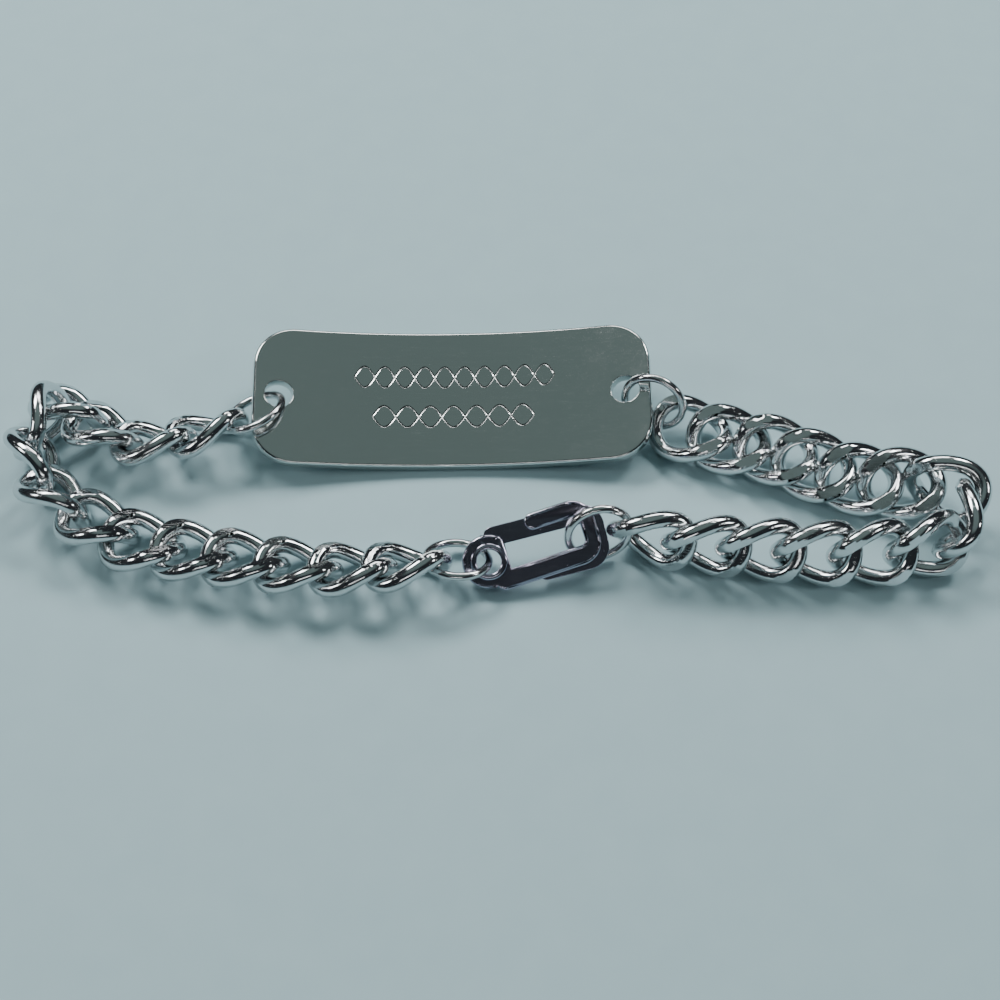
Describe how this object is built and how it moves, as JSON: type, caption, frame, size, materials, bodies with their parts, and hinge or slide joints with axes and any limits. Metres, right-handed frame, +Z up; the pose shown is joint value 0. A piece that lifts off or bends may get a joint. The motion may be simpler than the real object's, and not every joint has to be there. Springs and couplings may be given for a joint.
{
  "type": "medical alert bracelet",
  "caption": "Curved identity plate on a curb chain, joined by jump rings and closed by a riveted sister-hook clasp; laid flat as an oval loop.",
  "frame": {"origin": "middle of the whole loop's box, on the surface it lies on", "axes": "+X along the identity plate, +Y across the loop from the clasp to the plate, +Z up from the surface"},
  "size_m": [0.0824, 0.027, 0.0062],
  "materials": {
    "plate_steel": "stainless steel, smooth polish with fine hairline scratches",
    "chain_steel": "stainless steel, bright polish",
    "ring_steel": "stainless steel wire, bright polish",
    "clasp_steel": "stainless steel, dark bright polish"
  },
  "bodies": {
    "root": {"plate": "plate_steel", "left_plate_ring": "ring_steel", "right_plate_ring": "ring_steel", "left_clasp_ring": "ring_steel", "right_clasp_ring": "ring_steel", "front_hook": "clasp_steel", "back_hook": "clasp_steel", "rivet": "clasp_steel", "left_link_01": "chain_steel", "left_link_02": "chain_steel", "left_link_03": "chain_steel", "left_link_04": "chain_steel", "left_link_05": "chain_steel", "left_link_06": "chain_steel", "left_link_07": "chain_steel", "left_link_08": "chain_steel", "left_link_09": "chain_steel", "left_link_10": "chain_steel", "left_link_11": "chain_steel", "left_link_12": "chain_steel", "left_link_13": "chain_steel", "left_link_14": "chain_steel", "right_link_01": "chain_steel", "right_link_02": "chain_steel", "right_link_03": "chain_steel", "right_link_04": "chain_steel", "right_link_05": "chain_steel", "right_link_06": "chain_steel", "right_link_07": "chain_steel", "right_link_08": "chain_steel", "right_link_09": "chain_steel", "right_link_10": "chain_steel", "right_link_11": "chain_steel", "right_link_12": "chain_steel", "right_link_13": "chain_steel", "right_link_14": "chain_steel"}
  },
  "joints": []
}
